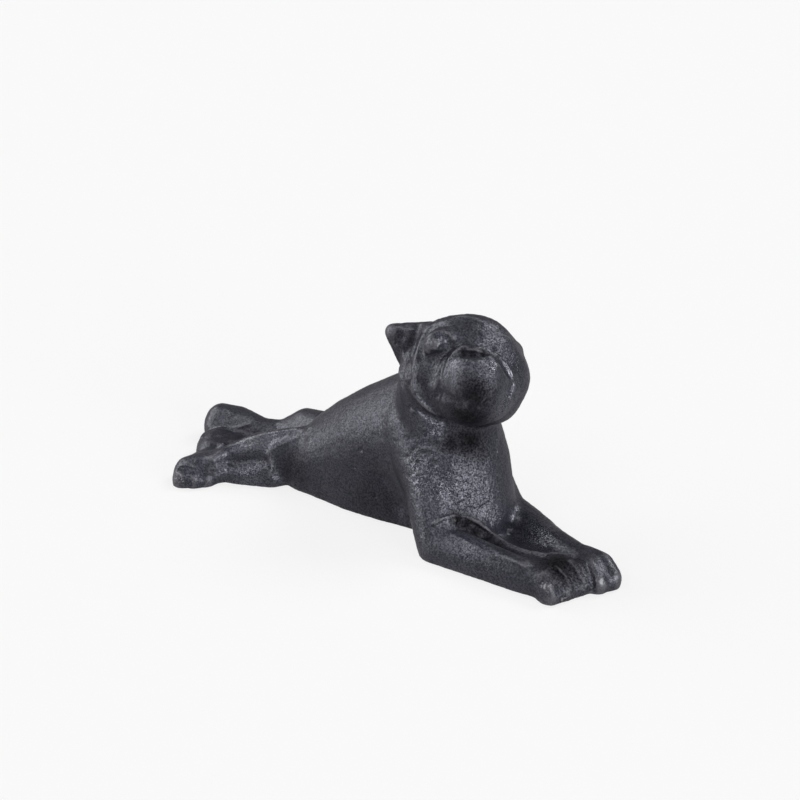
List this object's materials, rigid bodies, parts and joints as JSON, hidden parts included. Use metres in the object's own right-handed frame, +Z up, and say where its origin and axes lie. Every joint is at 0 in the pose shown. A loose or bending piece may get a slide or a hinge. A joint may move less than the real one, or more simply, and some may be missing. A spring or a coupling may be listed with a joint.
{
  "type": "doorstop",
  "caption": "Cast-iron doorstop in the shape of a dog lying stretched out with its head raised and turned; hollow below, on rubber pads.",
  "frame": {"origin": "on the floor, under the middle of the doorstop's length and width", "axes": "+X from the hind paws towards the front paws, +Y to the animal's left, +Z up"},
  "size_m": [0.2622, 0.0882, 0.1114],
  "materials": {
    "casting": "rough sand casting, thin satin black paint, worn bare on edges",
    "front_left_pad": "matt",
    "front_right_pad": "matt",
    "rear_left_pad": "matt",
    "rear_right_pad": "matt"
  },
  "bodies": {
    "root": {"casting": "casting", "front_left_pad": "front_left_pad", "front_right_pad": "front_right_pad", "rear_left_pad": "rear_left_pad", "rear_right_pad": "rear_right_pad"}
  },
  "joints": []
}
